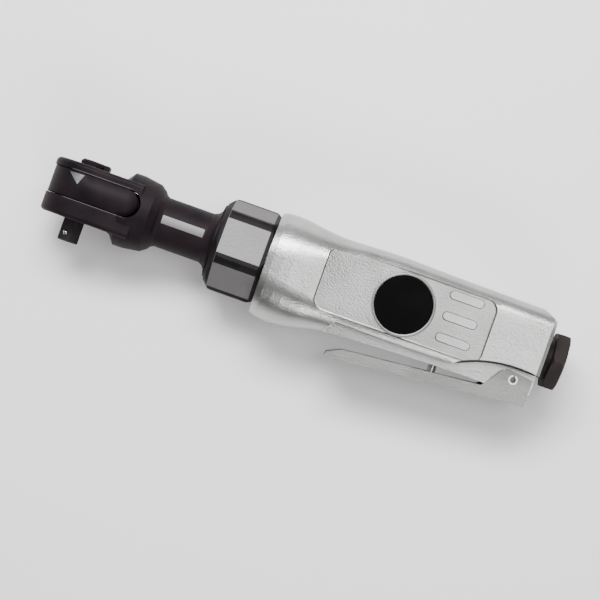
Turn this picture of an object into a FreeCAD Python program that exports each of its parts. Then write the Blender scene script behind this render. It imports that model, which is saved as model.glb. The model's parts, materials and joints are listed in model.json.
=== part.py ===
"""Compact pneumatic ratchet wrench with a 1/4 inch square drive: a forged head on a cast motor housing.

Every piece is modelled about the tool's centre line: +X runs from the drive to the air inlet, -Y is the side
that the square drive and the throttle lever point to, +Z is the upper flank of the tool as it lies on its
side. While it is modelled x = 0 is the drive's axis. On export everything moves by TO_INLET, which puts the
origin at the middle of the air inlet's mouth. Millimetres and degrees throughout.
"""
import FreeCAD, Part
import math
import os
from FreeCAD import Vector

# ---------------------------------------------------------------- fits
SLIDE_GAP = 0.05        # radial clearance of a running or sliding pair
PLAY = 0.3              # free space beside a piece that moves
SEAT = 0.1              # radial clearance of a piece that is only dropped in

# ---------------------------------------------------------------- head and drive
SQUARE = 6.35           # across the flats of the drive
SQUARE_LENGTH = 9.3
SQUARE_TURN = -34.0     # how far the square stands turned from the tool's axis
EAR_FACE = 11.6         # outer face of each ear, from the centre line
GAP_LOW = -3.7          # the two faces of the gap between the ears
GAP_HIGH = 8.1
GAP_END = 25.4          # where the gap's round end lies
EAR_RADIUS = 15.05
YOKE_RADIUS = 13.4
YOKE_BORE = 9.1         # tips of the yoke's inner teeth
YOKE_TEETH = 24
YOKE_TOOTH = 1.0
SHOULDER_START = 14.0
SHOULDER_FULL = 18.2
SHOULDER_END = 29.6
SHOULDER_RADIUS = 15.7
NECK_RADIUS = 10.6
NECK_START = 34.0
FLARE_START = 54.0
FLARE_RADIUS = 15.6
NUT_START = 58.4
SPINDLE_RADIUS = 6.4    # journals of the drive in the two ears
SPINDLE_BODY = 8.75     # barrel of the drive inside the yoke
BUSH_WALL = 1.5
UPPER_LAND = 1.6        # depth of the knob's recess in the upper ear
RING_WIDTH = 0.4        # retaining ring on the drive's lower journal
RING_SINK = 0.5
KNOB_RADIUS = 5.2
KNOB_HEIGHT = 2.3
KNOB_STEM = 2.4
KNOB_TAIL = 7.2         # reach of the knob's finger tab from its axis
KNOB_SEAT = 3.2         # how deep the knob sits in the drive
PAWL_OFFSET = 4.6       # pawl pin, from the drive's axis
PAWL_PIN = 1.0
PAWL_HALF = 3.9         # half of the pawl's height
PAWL_TILT = 3.0         # the pawl leans this far one way or the other
BALL_RADIUS = 1.3
BALL_PROUD = 0.5
BALL_FLOOR = 1.6        # depth of the ball's pocket past the drive's axis

# ---------------------------------------------------------------- crank and gears
ECCENTRIC = 1.3
CRANK_PIN = 2.5
CRANK_BUSH = 4.0        # outer radius of the block on the crank pin
CRANK_PIN_START = 17.8
CRANK_FACE = 27.0
CRANK_JOURNAL = 5.45
CRANK_SLEEVE = 7.5      # outer radius of the needle sleeve round the journal
SLEEVE_START = 37.0
SLEEVE_END = 56.0
ROCK = 3.5              # swing of the yoke to each side
MODULE = 0.75
PRESSURE_ANGLE = 25.0
SUN_TEETH = 9
PLANET_TEETH = 12
PLANETS = 3
ADDENDUM = 0.8          # in modules
DEDENDUM = 1.1
BACKLASH = 0.12         # taken off each tooth's thickness
CARRIER_RADIUS = 10.6
CARRIER_THICK = 3.4
PLANET_LENGTH = 8.0
PLANET_PIN = 1.5

# ---------------------------------------------------------------- clamp nut
NUT_FLATS = 35.5
NUT_LENGTH = 22.3
NUT_TURN = -10.7        # how far the nut's flats stand turned from the flank
NUT_CHAMFER = 3.0
SPIGOT_RADIUS = 13.2
THREAD_RADIUS = 15.8    # crest of the thread on the housing's nose
RING_GROOVE = 61.0      # start of the groove for the split ring
RING_THICK = 1.8
RING_DEPTH = 0.8

# ---------------------------------------------------------------- motor
MOTOR_BORE = 14.2
FRONT_PLATE = 77.0      # front face of the front end plate
PLATE_THICK = 6.0
LINER_LENGTH = 38.0
LINER_BORE = 12.0
LINER_OFFSET = 1.0
ROTOR_RADIUS = 10.9
ROTOR_END_GAP = 0.4
JOURNAL = 4.0
BEARING_RADIUS = 8.0
BEARING_WIDTH = 4.0
VANES = 5
VANE_THICK = 1.6
VANE_DEPTH = 5.4

# ---------------------------------------------------------------- motor housing
HOUSING_START = 81.0
HOUSING_END = 201.0
GRIP_HALF_WIDTH = 18.0
FRONT_HALF_WIDTH = 20.4
PANEL_DEPTH = 1.0
PANEL_START = 104.0
PANEL_END = 176.2
PANEL_TOP = 15.0
PANEL_BOTTOM = -12.5
BADGE_X = 139.4
BADGE_Y = 1.0
BADGE_RADIUS = 12.0
BADGE_THICK = 1.0
RIB_X = 163.0
RIB_Y = 2.6
RIB_LENGTH = 14.8
RIB_WIDTH = 3.8
RIB_PITCH = 9.0
RIB_RISE = 0.6
LUG_HALF = 8.0          # half width of the keel that the lever straddles
NOSE_START = 66.0
TAIL_BEVEL = 6.5
TAIL_DROP = 3.6

# ---------------------------------------------------------------- lever and valve
PIVOT_X = 192.35
PIVOT_Y = -12.9
PIN_RADIUS = 2.0
LEVER_SHEET = 1.5
LEVER_FLANGE = 4.5
LEVER_TIP = 116.4
LEVER_TIP_Y = -29.7     # outer face of the lever's web at its tip
LEVER_HEEL_Y = -21.8    # and at its heel
VALVE_X = 160.25
STEM_RADIUS = 1.85
VALVE_BORE = 5.2
VALVE_HEAD = 4.2
VALVE_SEAT_Y = -7.0
VALVE_CEILING = 9.2
GUIDE_LENGTH = 8.0
SPRING_WIRE = 0.35

# ---------------------------------------------------------------- inlet and exhaust
INLET_COLLAR = 8.6
COLLAR_LENGTH = 3.5
INLET_FLATS = 23.0
INLET_HEX = 5.5
INLET_BORE = 5.7
INLET_DEPTH = 13.0
INLET_THREAD = 8.0
INLET_REACH = 14.0      # how far the bushing screws into the housing
EXHAUST_Y = 12.4
EXHAUST_RADIUS = 2.4

# ---------------------------------------------------------------- worked out
NUT_END = NUT_START + NUT_LENGTH
GAP_MID = (GAP_LOW + GAP_HIGH) / 2
GAP_HALF = (GAP_HIGH - GAP_LOW) / 2
YOKE_SPAN = (GAP_LOW + PLAY, GAP_HIGH - PLAY)
SUN_PITCH = MODULE * SUN_TEETH / 2
PLANET_PITCH = MODULE * PLANET_TEETH / 2
RING_TEETH = SUN_TEETH + 2 * PLANET_TEETH
RING_PITCH = MODULE * RING_TEETH / 2
CARRIER_ARM = SUN_PITCH + PLANET_PITCH
LINER_START = FRONT_PLATE + PLATE_THICK
REAR_PLATE = LINER_START + LINER_LENGTH
MOTOR_END = REAR_PLATE + PLATE_THICK
RING_GEAR_START = NOSE_START + 0.3
CARRIER_START = NOSE_START - PLAY - CARRIER_THICK
PLANET_START = NOSE_START + 1.0
INLET_START = HOUSING_END - INLET_REACH
INLET_END = HOUSING_END + COLLAR_LENGTH + INLET_HEX
PANEL_FLOOR = GRIP_HALF_WIDTH - PANEL_DEPTH
DOWEL = (-MOTOR_BORE + 1.9, 0)
DOWEL_RADIUS = 0.8
TO_INLET = Vector(-INLET_END, 0, 0)
AXIS = {"x": Vector(1, 0, 0), "y": Vector(0, 1, 0), "z": Vector(0, 0, 1)}


# ================================================================ small helpers
def rod(axis, radius, low, high, at=(0, 0)):
    """A cylinder along x, y or z from low to high, its centre at the two other coordinates."""
    base = {"x": Vector(low, *at), "y": Vector(at[0], low, at[1]), "z": Vector(at[0], at[1], low)}[axis]
    return Part.makeCylinder(radius, high - low, base, AXIS[axis])


def tube(axis, outer, inner, low, high, at=(0, 0)):
    """A round tube along an axis."""
    return rod(axis, outer, low, high, at).cut(rod(axis, inner, low - 1, high + 1, at))


def block(x, y, z):
    """A box between (low, high) pairs."""
    return Part.makeBox(x[1] - x[0], y[1] - y[0], z[1] - z[0], Vector(x[0], y[0], z[0]))


def turned(profile):
    """A solid of revolution about the X axis from (x, radius) points."""
    points = [Vector(x, r, 0) for x, r in profile]
    face = Part.Face(Part.makePolygon(points + points[:1]))
    return face.revolve(Vector(0, 0, 0), AXIS["x"], 360)


def extruded(points, z):
    """A prism along Z over (x, y) points, between the two heights in z."""
    corners = [Vector(x, y, z[0]) for x, y in points]
    face = Part.Face(Part.makePolygon(corners + corners[:1]))
    return face.extrude(Vector(0, 0, z[1] - z[0]))


def hexagon(flats, low, high, turn):
    """A hexagonal bar along X. With no turn, a flat faces +Z."""
    corner = flats / math.sqrt(3)
    angles = [math.radians(60 * k + turn) for k in range(6)]
    points = [Vector(low, corner * math.cos(a), corner * math.sin(a)) for a in angles]
    return Part.Face(Part.makePolygon(points + points[:1])).extrude(Vector(high - low, 0, 0))


def spun(shape, degrees, axis="x", at=(0, 0, 0)):
    """A copy turned about an axis through a point."""
    copy = shape.copy()
    copy.rotate(Vector(*at), AXIS[axis], degrees)
    return copy


def mirrored(shape):
    """The copy on the other flank."""
    return shape.mirror(Vector(0, 0, 0), AXIS["z"])


def both_flanks(shape):
    return shape.fuse(mirrored(shape))


def group(solids):
    """Several separate solids in one node."""
    return Part.Compound([s for shape in solids for s in shape.Solids])


# ================================================================ gear teeth
def involute_angle(base, radius):
    """Polar angle of an involute from its start on the base circle, at a radius."""
    if radius <= base:
        return 0.0
    roll = math.sqrt((radius / base) ** 2 - 1)
    return roll - math.atan(roll)


def gear_outline(teeth, root, tip, slack):
    """(angle, radius) points of a gear whose first tooth is centred on angle 0. The flanks are involutes
    drawn with four points each; slack comes off the thickness of every tooth at the pitch circle."""
    pitch = MODULE * teeth / 2
    base = pitch * math.cos(math.radians(PRESSURE_ANGLE))
    half = math.pi / (2 * teeth) - slack / (2 * pitch)
    radii = [root + (tip - root) * k / 3 for k in range(4)]
    offsets = [half + involute_angle(base, pitch) - involute_angle(base, r) for r in radii]
    outline = []
    for tooth in range(teeth):
        middle = 2 * math.pi * tooth / teeth
        outline += [(middle - a, r) for a, r in zip(offsets, radii)]
        outline += [(middle + a, r) for a, r in zip(reversed(offsets), reversed(radii))]
    return outline


def gear_bar(outline, low, high, centre=(0, 0), turn=0.0):
    """A toothed bar along X over polar points. Angle 0 is +Y, and angles grow towards +Z."""
    shift = math.radians(turn)
    points = [
        Vector(low, centre[0] + r * math.cos(a + shift), centre[1] + r * math.sin(a + shift))
        for a, r in outline
    ]
    return Part.Face(Part.makePolygon(points + points[:1])).extrude(Vector(high - low, 0, 0))


def external_gear(teeth, low, high, centre=(0, 0), turn=0.0):
    pitch = MODULE * teeth / 2
    outline = gear_outline(teeth, pitch - DEDENDUM * MODULE, pitch + ADDENDUM * MODULE, BACKLASH)
    return gear_bar(outline, low, high, centre, turn)


def planet_centres():
    """(y, z, angle) of each planet's pin."""
    angles = [360.0 * k / PLANETS for k in range(PLANETS)]
    arms = [math.radians(a) for a in angles]
    return [(CARRIER_ARM * math.cos(r), CARRIER_ARM * math.sin(r), a) for r, a in zip(arms, angles)]


# ================================================================ head
def ear_plan(radius, width, length):
    """The head's outline seen along the drive, as a face at y = 0: a round nose with straight sides."""
    lean = math.asin((width - radius) / length)
    touch = (radius * -math.sin(lean), radius * math.cos(lean))
    a = Vector(touch[0], 0, touch[1])
    b = Vector(touch[0], 0, -touch[1])
    nose = Part.Arc(a, Vector(-radius, 0, 0), b)
    end = [Vector(length, 0, -width), Vector(length, 0, width)]
    sides = [Part.LineSegment(b, end[0]), Part.LineSegment(end[0], end[1]), Part.LineSegment(end[1], a)]
    return Part.Face(Part.Wire([e.toShape() for e in [nose] + sides]))


def ears():
    """The two ears as one plate, before the gap is milled, with turned edges round the nose."""
    plan = ear_plan(EAR_RADIUS, SHOULDER_RADIUS - 1.6, SHOULDER_FULL + 6)
    plate = plan.extrude(Vector(0, 2 * EAR_FACE, 0))
    plate.translate(Vector(0, -EAR_FACE, 0))
    rims = [e for e in plate.Edges if abs(abs(e.CenterOfMass.y) - EAR_FACE) < 0.01]
    return plate.makeFillet(1.8, [e for e in rims if e.CenterOfMass.x < SHOULDER_FULL])


def gap_space(slack):
    """The gap between the ears with its round end, made smaller by a slack at each face."""
    radius = GAP_HALF - slack
    centre = GAP_END - GAP_HALF - 3 * slack
    faces = (GAP_MID - radius, GAP_MID + radius)
    slot = block((-EAR_RADIUS - 5, centre), faces, (-30, 30))
    return slot.fuse(rod("z", radius, -30, 30, (centre, GAP_MID)))


def ratchet_housing():
    """The forged head: ears, shoulder, neck and the spigot inside the clamp nut."""
    shell = turned([
        (SHOULDER_START, 0), (SHOULDER_START, EAR_FACE), (SHOULDER_START + 1.6, EAR_FACE + 0.7),
        (SHOULDER_FULL, SHOULDER_RADIUS), (SHOULDER_FULL + 4, SHOULDER_RADIUS),
        (SHOULDER_END, SHOULDER_RADIUS - 1.1), (SHOULDER_END + 2.6, SHOULDER_RADIUS - 3.0),
        (NECK_START - 0.8, NECK_RADIUS + 0.7), (NECK_START + 0.6, NECK_RADIUS), (FLARE_START, NECK_RADIUS),
        (FLARE_START + 1.8, NECK_RADIUS + 0.8), (FLARE_START + 3.0, NECK_RADIUS + 2.2),
        (NUT_START - 0.8, FLARE_RADIUS), (NUT_START, FLARE_RADIUS), (NUT_START, SPIGOT_RADIUS),
        (NOSE_START, SPIGOT_RADIUS), (NOSE_START, 0),
    ])
    body = shell.fuse(ears()).removeSplitter()
    bore = SPINDLE_RADIUS + BUSH_WALL
    cuts = [
        gap_space(0),
        rod("y", bore, -EAR_FACE - 1, GAP_MID),
        rod("y", bore, GAP_MID, EAR_FACE - UPPER_LAND),
        rod("y", KNOB_RADIUS + 2 * PLAY, 0, EAR_FACE + 1),
        rod("x", CRANK_SLEEVE, CRANK_PIN_START - 4 * PLAY, CARRIER_START),
        rod("x", CARRIER_RADIUS + PLAY, CARRIER_START - PLAY, NOSE_START + 1),
        tube("x", SPIGOT_RADIUS + 1, SPIGOT_RADIUS - RING_DEPTH, RING_GROOVE, RING_GROOVE + RING_THICK),
    ]
    for cut in cuts:
        body = body.cut(cut)
    return body


def spindle_bush(low, high):
    """A plain bush pressed into one ear."""
    return tube("y", SPINDLE_RADIUS + BUSH_WALL, SPINDLE_RADIUS + SLIDE_GAP, low, high)


def yoke_teeth():
    """The hole with the yoke's inner teeth."""
    points = []
    for k in range(2 * YOKE_TEETH):
        angle = math.pi * k / YOKE_TEETH
        radius = YOKE_BORE + (YOKE_TOOTH if k % 2 else 0)
        points.append(Vector(radius * math.cos(angle), GAP_LOW - 1, radius * math.sin(angle)))
    return Part.Face(Part.makePolygon(points + points[:1])).extrude(Vector(0, 2 * GAP_HALF + 2, 0))


def ratchet_yoke():
    """The rocking yoke: a toothed ring round the drive, with a forked tail for the block on the crank pin."""
    ring = rod("y", YOKE_RADIUS, *YOKE_SPAN)
    ring = ring.makeFillet(1.0, [e for e in ring.Edges if len(e.Vertexes) == 1])
    swing = (CRANK_FACE + CRANK_PIN_START) / 2 * math.sin(math.radians(ROCK))
    slot_half = CRANK_BUSH + ECCENTRIC + swing + PLAY
    arm = slot_half + 3.2
    tail = block((6, GAP_END), YOKE_SPAN, (-arm, arm)).common(gap_space(PLAY))
    slot = block((CRANK_PIN_START - 1.5, GAP_END), (GAP_LOW - 1, GAP_HIGH + 1), (-slot_half, slot_half))
    return ring.fuse(tail).removeSplitter().cut(yoke_teeth()).cut(slot)


def drive_spindle():
    """The drive: two journals, a barrel with the pawl's slot, and the square with its ball hole."""
    half = SQUARE / 2
    tip = -EAR_FACE - SQUARE_LENGTH
    square = block((-half, half), (tip, -EAR_FACE + 1), (-half, half))
    square = square.makeFillet(0.5, [e for e in square.Edges if abs(e.tangentAt(0).y) > 0.9])
    square = square.makeChamfer(0.45, [e for e in square.Edges if abs(e.CenterOfMass.y - tip) < 0.01])
    square = spun(square, SQUARE_TURN, "y")
    top = EAR_FACE - UPPER_LAND - PLAY
    body = rod("y", SPINDLE_BODY, *YOKE_SPAN).fuse(rod("y", SPINDLE_RADIUS, -EAR_FACE, top)).fuse(square)
    body = body.removeSplitter()
    cuts = [
        rod("y", KNOB_STEM + SLIDE_GAP, GAP_MID - PAWL_HALF, EAR_FACE),
        rod("y", KNOB_RADIUS + SLIDE_GAP, EAR_FACE - KNOB_SEAT - PLAY, EAR_FACE),
        block((-9, 9), (GAP_MID - PAWL_HALF - PLAY, GAP_MID + PAWL_HALF + PLAY), (2.2, 9)),
        rod("y", PAWL_PIN, *YOKE_SPAN, (0, PAWL_OFFSET)),
        tube("y", SPINDLE_RADIUS + 1, SPINDLE_RADIUS - RING_SINK, *ring_span()),
        ball_pocket(),
    ]
    for cut in cuts:
        body = body.cut(cut)
    return body


def ring_span():
    """Lower and upper face of the retaining ring on the drive."""
    return -EAR_FACE + 0.1, -EAR_FACE + 0.1 + RING_WIDTH


def retaining_ring():
    """The open ring that keeps the drive in the lower ear."""
    ring = tube("y", SPINDLE_RADIUS + 0.9, SPINDLE_RADIUS - RING_SINK, *ring_span())
    return ring.cut(block((0, 9), (-EAR_FACE - 1, 0), (-1.5, 1.5)))


def ball_middle():
    """Distance of the detent ball from the drive's axis, and its height."""
    return SQUARE / 2 - BALL_RADIUS + BALL_PROUD, -EAR_FACE - SQUARE_LENGTH * 0.62


def ball_pocket():
    """The blind hole for the ball and its spring, in the square's main face."""
    pocket = rod("z", BALL_RADIUS + SLIDE_GAP, -BALL_FLOOR, SQUARE, (0, ball_middle()[1]))
    return spun(pocket, SQUARE_TURN, "y")


def detent_ball():
    out, height = ball_middle()
    return spun(Part.makeSphere(BALL_RADIUS, Vector(0, height, out)), SQUARE_TURN, "y")


def coil(axis, radius, wire, low, high, turns, at=(0, 0)):
    """A spring of six-sided wire along y or z, whose wire touches both ends of its room."""
    length = high - low - 2 * wire
    helix = Part.makeHelix(length / turns, length, radius)
    corners = [math.radians(60 * k) for k in range(7)]
    points = [Vector(radius + wire * math.cos(a), 0, wire * math.sin(a)) for a in corners]
    spring = Part.Wire(helix.Edges).makePipeShell([Part.makePolygon(points)], True, True)
    if axis == "y":
        spring = spun(spring, -90, "x")
    spring.translate({"y": Vector(at[0], low + wire, at[1]), "z": Vector(at[0], at[1], low + wire)}[axis])
    return spring


def detent_spring():
    """The spring behind the ball, lying along the pocket."""
    out, height = ball_middle()
    return spun(coil("z", 0.8, 0.14, -BALL_FLOOR, out - BALL_RADIUS, 3, (0, height)), SQUARE_TURN, "y")


def pawl():
    """The double-ended pawl on its pin, leaning to one side: a toothed toe each side of the pivot."""
    reach, toe = YOKE_BORE - 0.45, 5.6
    top = math.sqrt(reach ** 2 - toe ** 2)
    half = [(toe, top), (toe + 0.4, top - 1.1), (3.4, 3.5), (1.6, 3.1)]
    outline = half + [(-x, z) for x, z in reversed(half)] + [(-3.6, 7.1), (0, 7.3), (3.6, 7.1)]
    points = [Vector(x, GAP_MID - PAWL_HALF, z) for x, z in outline]
    bar = Part.Face(Part.makePolygon(points + points[:1])).extrude(Vector(0, 2 * PAWL_HALF, 0))
    bar = bar.cut(rod("y", PAWL_PIN + SLIDE_GAP, -9, 9, (0, PAWL_OFFSET)))
    return spun(bar, -PAWL_TILT, "y", (0, 0, PAWL_OFFSET))


def pawl_pin():
    return rod("y", PAWL_PIN, *YOKE_SPAN, (0, PAWL_OFFSET))


def reverse_knob():
    """The reversing knob: a cap with a finger tab, on a stem that reaches into the drive."""
    low = EAR_FACE + PLAY
    high = low + KNOB_HEIGHT
    cap = rod("y", KNOB_RADIUS, low, high).fuse(block((0, KNOB_TAIL), (low, high), (-2.2, 2.2)))
    cap = cap.removeSplitter()
    cap = cap.makeChamfer(0.6, [e for e in cap.Edges if abs(e.CenterOfMass.y - high) < 0.01])
    seat = rod("y", KNOB_RADIUS, EAR_FACE - KNOB_SEAT, low)
    stem = rod("y", KNOB_STEM, GAP_MID - PAWL_HALF + PLAY, EAR_FACE - KNOB_SEAT)
    relief = block((-9, 9), (0, GAP_MID + PAWL_HALF + 0.6), (2.0, 9))
    return cap.fuse(seat).fuse(stem.cut(relief)).removeSplitter()


# ================================================================ crank and gears
def crankshaft():
    """The crank and planet carrier in one: eccentric pin, journal, disc and planet pins."""
    pin = rod("x", CRANK_PIN, CRANK_PIN_START, CRANK_FACE, (0, 0))
    pin.translate(Vector(0, ECCENTRIC, 0))
    shaft = turned([
        (CRANK_FACE, 0), (CRANK_FACE, CRANK_JOURNAL - 0.8), (CRANK_FACE + 0.8, CRANK_JOURNAL),
        (CARRIER_START, CRANK_JOURNAL), (CARRIER_START, CARRIER_RADIUS - 0.6),
        (CARRIER_START + 0.6, CARRIER_RADIUS), (CARRIER_START + CARRIER_THICK, CARRIER_RADIUS),
        (CARRIER_START + CARRIER_THICK, 0),
    ])
    body = shaft.fuse(pin)
    for y, z, _ in planet_centres():
        body = body.fuse(rod("x", PLANET_PIN, CARRIER_START + 1, PLANET_START + PLANET_LENGTH + 0.6, (y, z)))
    return body.removeSplitter()


def crank_block():
    """The hardened block on the crank pin that drives the yoke's fork."""
    barrel = tube("x", CRANK_BUSH, CRANK_PIN + SLIDE_GAP, CRANK_PIN_START + 0.5, GAP_END - 1.2)
    barrel.translate(Vector(0, ECCENTRIC, 0))
    return barrel


def needle_sleeve():
    """The drawn shell of the crank's needle bearing."""
    return tube("x", CRANK_SLEEVE, CRANK_JOURNAL + SLIDE_GAP, SLEEVE_START, SLEEVE_END)


def ring_gear():
    tips, roots = RING_PITCH - ADDENDUM * MODULE, RING_PITCH + DEDENDUM * MODULE
    outline = gear_outline(RING_TEETH, tips, roots, -BACKLASH)
    half_tooth = 180.0 / RING_TEETH
    hole = gear_bar(outline, RING_GEAR_START - 1, FRONT_PLATE + 1, turn=half_tooth)
    return rod("x", MOTOR_BORE - SEAT, RING_GEAR_START, FRONT_PLATE - 0.3).cut(hole)


def planet_gear(index):
    y, z, angle = planet_centres()[index]
    turn = angle + 180.0 / PLANET_TEETH
    gear = external_gear(PLANET_TEETH, PLANET_START, PLANET_START + PLANET_LENGTH, (y, z), turn)
    bore = rod("x", PLANET_PIN + SLIDE_GAP, PLANET_START - 1, PLANET_START + PLANET_LENGTH + 1, (y, z))
    return gear.cut(bore)


# ================================================================ motor
def front_end_plate():
    plate = tube("x", MOTOR_BORE - SEAT, JOURNAL + 0.6, FRONT_PLATE, LINER_START)
    return plate.cut(rod("x", BEARING_RADIUS, FRONT_PLATE - 1, FRONT_PLATE + BEARING_WIDTH))


def rear_end_plate():
    plate = tube("x", MOTOR_BORE - SEAT, JOURNAL + 0.6, REAR_PLATE, MOTOR_END)
    plate = plate.cut(rod("x", BEARING_RADIUS, MOTOR_END - BEARING_WIDTH, MOTOR_END + 1))
    return plate.cut(rod("x", DOWEL_RADIUS, REAR_PLATE - 1, MOTOR_END - 2, DOWEL))


def bearing_races(low):
    """(outer race, inner race, balls) of a deep-groove bearing."""
    high = low + BEARING_WIDTH
    middle = (low + high) / 2
    track = (BEARING_RADIUS + JOURNAL) / 2
    ball = 1.1
    groove = Part.makeTorus(track, ball + SLIDE_GAP, Vector(middle, 0, 0), AXIS["x"])
    outer = tube("x", BEARING_RADIUS, track + 0.7, low, high).cut(groove)
    inner = tube("x", track - 0.7, JOURNAL, low, high).cut(groove)
    count = 9
    first = Part.makeSphere(ball, Vector(middle, track, 0))
    return outer, inner, group([spun(first, 360.0 * k / count) for k in range(count)])


def cylinder_liner():
    """The motor's cylinder: an off-centre bore, with exhaust ports through the wall."""
    body = rod("x", MOTOR_BORE - SEAT, LINER_START, REAR_PLATE)
    body = body.cut(rod("x", LINER_BORE, LINER_START - 1, REAR_PLATE + 1, (LINER_OFFSET, 0)))
    for k in range(4):
        body = body.cut(rod("z", 1.6, 0, MOTOR_BORE + 1, (LINER_START + 8 + 8 * k, 3)))
    return body.cut(rod("x", DOWEL_RADIUS, REAR_PLATE - 4, REAR_PLATE + 1, DOWEL))


def liner_dowel():
    return rod("x", DOWEL_RADIUS, REAR_PLATE - 3.8, MOTOR_END - 2.4, DOWEL)


def rotor():
    """The slotted rotor with its journals and the sun pinion at the front."""
    body = turned([
        (FRONT_PLATE - 0.2, 0), (FRONT_PLATE - 0.2, JOURNAL), (LINER_START + ROTOR_END_GAP, JOURNAL),
        (LINER_START + ROTOR_END_GAP, ROTOR_RADIUS), (REAR_PLATE - ROTOR_END_GAP, ROTOR_RADIUS),
        (REAR_PLATE - ROTOR_END_GAP, JOURNAL), (MOTOR_END, JOURNAL), (MOTOR_END, 0),
    ])
    for k in range(VANES):
        body = body.cut(vane_space(k, SLIDE_GAP))
    return body.fuse(external_gear(SUN_TEETH, PLANET_START, FRONT_PLATE)).removeSplitter()


def vane_space(index, slack):
    """The room of one vane in the rotor, grown by a slack on each face."""
    low = LINER_START + ROTOR_END_GAP
    high = REAR_PLATE - ROTOR_END_GAP
    half = VANE_THICK / 2 + slack
    floor = ROTOR_RADIUS - VANE_DEPTH - slack
    space = block((low - slack, high + slack), (floor, ROTOR_RADIUS + slack), (-half, half))
    return spun(space, 360.0 * index / VANES)


def rotor_vanes():
    vanes = [vane_space(k, 0).common(rod("x", ROTOR_RADIUS - 0.02, 0, HOUSING_END)) for k in range(VANES)]
    return group(vanes)


# ================================================================ clamp nut
def clamp_nut():
    """The hexagonal nut that draws the head onto the motor housing, with turned ends."""
    corner = NUT_FLATS / math.sqrt(3) + 0.01
    turned_ends = turned([
        (NUT_START, 0), (NUT_START, corner - NUT_CHAMFER * 1.25), (NUT_START + NUT_CHAMFER, corner - 0.7),
        (NUT_START + NUT_CHAMFER + 1.6, corner - 0.5), (NUT_END - 2.0, corner - 0.5),
        (NUT_END, corner - 2.0), (NUT_END, 0),
    ])
    body = hexagon(NUT_FLATS, NUT_START, NUT_END, NUT_TURN).common(turned_ends)
    inside = turned([
        (NUT_START - 1, 0), (NUT_START - 1, SPIGOT_RADIUS + SEAT), (RING_GROOVE, SPIGOT_RADIUS + SEAT),
        (RING_GROOVE, THREAD_RADIUS + SEAT), (NUT_END + 1, THREAD_RADIUS + SEAT), (NUT_END + 1, 0),
    ])
    return body.cut(inside)


def split_ring():
    """The split ring that the nut pulls on."""
    faces = (RING_GROOVE + SLIDE_GAP, RING_GROOVE + RING_THICK - SLIDE_GAP)
    ring = tube("x", THREAD_RADIUS - 0.6, SPIGOT_RADIUS - RING_DEPTH + SEAT, *faces)
    return ring.cut(block((RING_GROOVE - 1, RING_GROOVE + 3), (0, 30), (-1.2, 1.2)))


def nose_seal():
    """The O-ring between the nut and the housing's front face."""
    return Part.makeTorus(THREAD_RADIUS - 1.2, 0.7, Vector(NOSE_START - 0.75, 0, 0), AXIS["x"])


# ================================================================ motor housing
def flank_section(x, top, bottom, half_width, corner):
    """A rounded rectangle across the tool at x."""
    y0, y1, z1, r = bottom, top, half_width, corner
    s = r * (1 - math.sqrt(0.5))
    edges = [
        Part.LineSegment(Vector(x, y0 + r, z1), Vector(x, y1 - r, z1)),
        Part.Arc(Vector(x, y1 - r, z1), Vector(x, y1 - s, z1 - s), Vector(x, y1, z1 - r)),
        Part.LineSegment(Vector(x, y1, z1 - r), Vector(x, y1, -z1 + r)),
        Part.Arc(Vector(x, y1, -z1 + r), Vector(x, y1 - s, -z1 + s), Vector(x, y1 - r, -z1)),
        Part.LineSegment(Vector(x, y1 - r, -z1), Vector(x, y0 + r, -z1)),
        Part.Arc(Vector(x, y0 + r, -z1), Vector(x, y0 + s, -z1 + s), Vector(x, y0, -z1 + r)),
        Part.LineSegment(Vector(x, y0, -z1 + r), Vector(x, y0, z1 - r)),
        Part.Arc(Vector(x, y0, z1 - r), Vector(x, y0 + s, z1 - s), Vector(x, y0 + r, z1)),
    ]
    return Part.Wire([e.toShape() for e in edges])


def eased(x, stations):
    """The values at x on smooth curves through the stations: a cubic on each span, with the slope at each
    station taken from its two neighbours."""
    k = max(i for i, station in enumerate(stations[:-1]) if station[0] <= x + 1e-9)
    near = [stations[min(max(i, 0), len(stations) - 1)] for i in range(k - 1, k + 3)]
    span = near[2][0] - near[1][0]
    t = (x - near[1][0]) / span
    values = []
    for column in range(1, len(near[0])):
        before, here, there, after = [station[column] for station in near]
        slope_here = (there - before) / (near[2][0] - near[0][0]) * span
        slope_there = (after - here) / (near[3][0] - near[1][0]) * span
        values.append(here + slope_here * t + (3 * (there - here) - 2 * slope_here - slope_there) * t ** 2
                      + (2 * (here - there) + slope_here + slope_there) * t ** 3)
    return values


def housing_skin():
    """The outside of the casting: a full round front that draws in to a flat-sided grip. Each station gives
    the top, the bottom, the half width and the corner radius."""
    front, grip = FRONT_HALF_WIDTH, GRIP_HALF_WIDTH
    rim, tail = HOUSING_START + 2.5, HOUSING_END - 1.6
    stations = [
        (rim, 21.0, -23.8, front, 18.0), (HOUSING_START + 9, 21.3, -24.6, front, 18.0),
        (HOUSING_START + 18, 20.0, -23.6, front - 0.8, 15.5),
        (PANEL_START + 3, 19.0, -21.4, grip + 0.8, 12.5),
        (PANEL_START + 13, 19.1, -19.8, grip, 9.5), (PANEL_START + 27, 19.6, -19.1, grip, 8.5),
        (PANEL_END - 18, 19.1, -18.1, grip, 8.0), (tail, 18.7, -18.0, grip, 8.0),
    ]
    steps = 28
    middle = [rim + (tail - rim) * k / steps for k in range(steps + 1)]
    sections = [flank_section(HOUSING_START, 20.2, -22.9, front - 0.8, 17.2)]
    sections += [flank_section(x, *eased(x, stations)) for x in middle]
    sections += [flank_section(HOUSING_END, 17.3, -16.6, grip - 1.4, 6.8)]
    return Part.makeLoft(sections, True, True)


def obround(x, y, length, width, z):
    """A bar with round ends along X, between two heights in z."""
    half = (length - width) / 2
    bar = block((x - half, x + half), (y - width / 2, y + width / 2), z)
    for end in (x - half, x + half):
        bar = bar.fuse(rod("z", width / 2, z[0], z[1], (end, y)))
    return bar.removeSplitter()


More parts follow.
